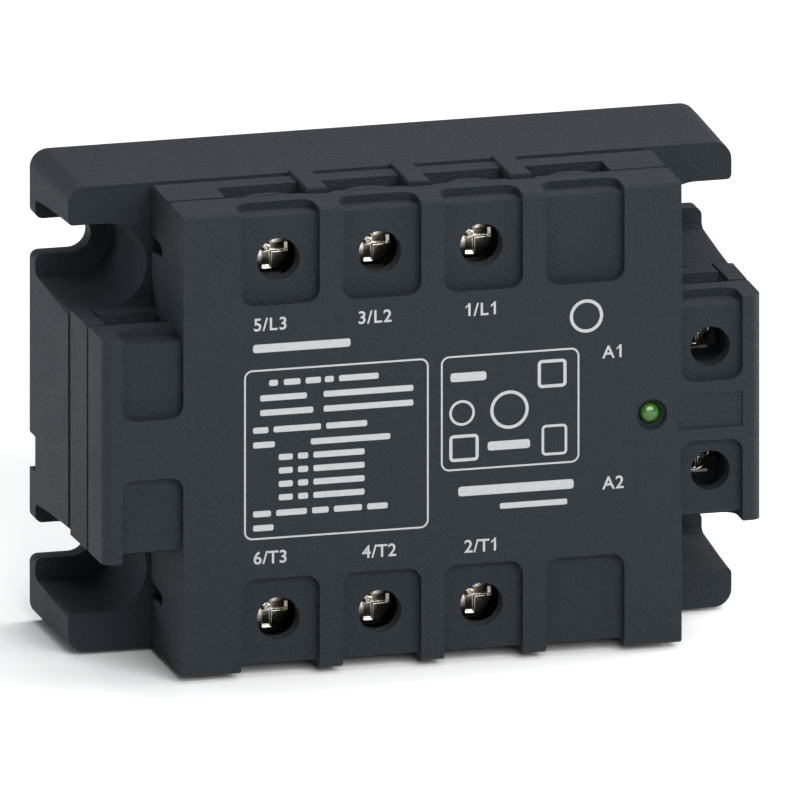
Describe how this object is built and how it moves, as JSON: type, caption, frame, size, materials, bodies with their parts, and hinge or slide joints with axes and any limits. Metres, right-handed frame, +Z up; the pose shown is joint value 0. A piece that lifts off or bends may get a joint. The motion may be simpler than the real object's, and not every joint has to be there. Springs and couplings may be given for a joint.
{
  "type": "solid state relay",
  "caption": "Flat cross-shaped panel-mount relay: a slotted back plate, a moulded housing and a cover over screw terminals along the upper and lower edges and the right side.",
  "frame": {"origin": "centre of the back plate's mounting face", "axes": "+X to the right of someone who faces the relay, +Y into the panel, +Z up"},
  "size_m": [0.104, 0.0411, 0.0738],
  "materials": {
    "housing": "moulded dark grey thermoplastic with a fine texture",
    "plate": "dark anodised plate",
    "nickel": "nickel-plated steel",
    "bar": "tin-plated brass bar",
    "lens": "clear green plastic",
    "board": "green glass-fibre laminate",
    "epoxy": "black moulding compound",
    "capacitor": "dipped red film capacitor",
    "resistor": "lacquered resistor",
    "substrate": "white alumina substrate",
    "silicon": "polished silicon chip",
    "gel": "soft translucent potting gel"
  },
  "bodies": {
    "relay": {"base_plate": "plate", "base_housing": "housing", "terminal_housing": "housing", "top_cover": "housing", "light_pipe": "lens", "circuit_board": "board", "status_led": "lens", "input_driver": "epoxy", "potting_gel": "gel", "optocoupler_3": "epoxy", "snubber_capacitor_3": "capacitor", "snubber_resistor_3": "resistor", "ceramic_substrate_3": "substrate", "optocoupler_2": "epoxy", "snubber_capacitor_2": "capacitor", "snubber_resistor_2": "resistor", "ceramic_substrate_2": "substrate", "optocoupler_1": "epoxy", "snubber_capacitor_1": "capacitor", "snubber_resistor_1": "resistor", "ceramic_substrate_1": "substrate", "thyristor_chip_L3": "silicon", "power_busbar_L3": "bar", "thyristor_chip_T3": "silicon", "power_busbar_T3": "bar", "thyristor_chip_L2": "silicon", "power_busbar_L2": "bar", "thyristor_chip_T2": "silicon", "power_busbar_T2": "bar", "thyristor_chip_L1": "silicon", "power_busbar_L1": "bar", "thyristor_chip_T1": "silicon", "power_busbar_T1": "bar", "control_terminal_A1": "bar", "control_terminal_A2": "bar"},
    "power_clamp_L3": {"power_clamp_L3": "nickel"},
    "power_screw_L3": {"power_screw_L3": "nickel"},
    "power_clamp_T3": {"power_clamp_T3": "nickel"},
    "power_screw_T3": {"power_screw_T3": "nickel"},
    "power_clamp_L2": {"power_clamp_L2": "nickel"},
    "power_screw_L2": {"power_screw_L2": "nickel"},
    "power_clamp_T2": {"power_clamp_T2": "nickel"},
    "power_screw_T2": {"power_screw_T2": "nickel"},
    "power_clamp_L1": {"power_clamp_L1": "nickel"},
    "power_screw_L1": {"power_screw_L1": "nickel"},
    "power_clamp_T1": {"power_clamp_T1": "nickel"},
    "power_screw_T1": {"power_screw_T1": "nickel"},
    "control_clamp_A1": {"control_clamp_A1": "nickel"},
    "control_screw_A1": {"control_screw_A1": "nickel"},
    "control_clamp_A2": {"control_clamp_A2": "nickel"},
    "control_screw_A2": {"control_screw_A2": "nickel"}
  },
  "joints": [
    {"name": "power_clamp_L3_slide", "type": "slide", "parent": "relay", "child": "power_clamp_L3", "axis": [0, -1, 0], "range_m": [-0.00105, 0.0042]},
    {"name": "power_screw_L3_turn", "type": "hinge", "parent": "power_clamp_L3", "child": "power_screw_L3", "pos_m": [-0.0237, -0.0328, 0.0281], "axis": [0, -1, 0], "range_deg": [-540.8, 2163]},
    {"name": "power_clamp_T3_slide", "type": "slide", "parent": "relay", "child": "power_clamp_T3", "axis": [0, -1, 0], "range_m": [-0.00105, 0.0042]},
    {"name": "power_screw_T3_turn", "type": "hinge", "parent": "power_clamp_T3", "child": "power_screw_T3", "pos_m": [-0.0237, -0.0328, -0.0281], "axis": [0, -1, 0], "range_deg": [-540.8, 2163]},
    {"name": "power_clamp_L2_slide", "type": "slide", "parent": "relay", "child": "power_clamp_L2", "axis": [0, -1, 0], "range_m": [-0.00105, 0.0042]},
    {"name": "power_screw_L2_turn", "type": "hinge", "parent": "power_clamp_L2", "child": "power_screw_L2", "pos_m": [-0.00785, -0.0328, 0.0281], "axis": [0, -1, 0], "range_deg": [-540.8, 2163]},
    {"name": "power_clamp_T2_slide", "type": "slide", "parent": "relay", "child": "power_clamp_T2", "axis": [0, -1, 0], "range_m": [-0.00105, 0.0042]},
    {"name": "power_screw_T2_turn", "type": "hinge", "parent": "power_clamp_T2", "child": "power_screw_T2", "pos_m": [-0.00785, -0.0328, -0.0281], "axis": [0, -1, 0], "range_deg": [-540.8, 2163]},
    {"name": "power_clamp_L1_slide", "type": "slide", "parent": "relay", "child": "power_clamp_L1", "axis": [0, -1, 0], "range_m": [-0.00105, 0.0042]},
    {"name": "power_screw_L1_turn", "type": "hinge", "parent": "power_clamp_L1", "child": "power_screw_L1", "pos_m": [0.008, -0.0328, 0.0281], "axis": [0, -1, 0], "range_deg": [-540.8, 2163]},
    {"name": "power_clamp_T1_slide", "type": "slide", "parent": "relay", "child": "power_clamp_T1", "axis": [0, -1, 0], "range_m": [-0.00105, 0.0042]},
    {"name": "power_screw_T1_turn", "type": "hinge", "parent": "power_clamp_T1", "child": "power_screw_T1", "pos_m": [0.008, -0.0328, -0.0281], "axis": [0, -1, 0], "range_deg": [-540.8, 2163]},
    {"name": "control_clamp_A1_slide", "type": "slide", "parent": "relay", "child": "control_clamp_A1", "axis": [0, -1, 0], "range_m": [0, 0.003]},
    {"name": "control_screw_A1_turn", "type": "hinge", "parent": "control_clamp_A1", "child": "control_screw_A1", "pos_m": [0.04366, -0.0299, 0.0097], "axis": [0, -1, 0], "range_deg": [0, 2163]},
    {"name": "control_clamp_A2_slide", "type": "slide", "parent": "relay", "child": "control_clamp_A2", "axis": [0, -1, 0], "range_m": [0, 0.003]},
    {"name": "control_screw_A2_turn", "type": "hinge", "parent": "control_clamp_A2", "child": "control_screw_A2", "pos_m": [0.04366, -0.0299, -0.0097], "axis": [0, -1, 0], "range_deg": [0, 2163]}
  ],
  "couplings": [
    {"joint": "power_screw_L3_turn", "follows": "power_clamp_L3_slide", "rad_per_m": 8976},
    {"joint": "power_screw_T3_turn", "follows": "power_clamp_T3_slide", "rad_per_m": 8976},
    {"joint": "power_screw_L2_turn", "follows": "power_clamp_L2_slide", "rad_per_m": 8976},
    {"joint": "power_screw_T2_turn", "follows": "power_clamp_T2_slide", "rad_per_m": 8976},
    {"joint": "power_screw_L1_turn", "follows": "power_clamp_L1_slide", "rad_per_m": 8976},
    {"joint": "power_screw_T1_turn", "follows": "power_clamp_T1_slide", "rad_per_m": 8976},
    {"joint": "control_screw_A1_turn", "follows": "control_clamp_A1_slide", "rad_per_m": 12566},
    {"joint": "control_screw_A2_turn", "follows": "control_clamp_A2_slide", "rad_per_m": 12566}
  ]
}
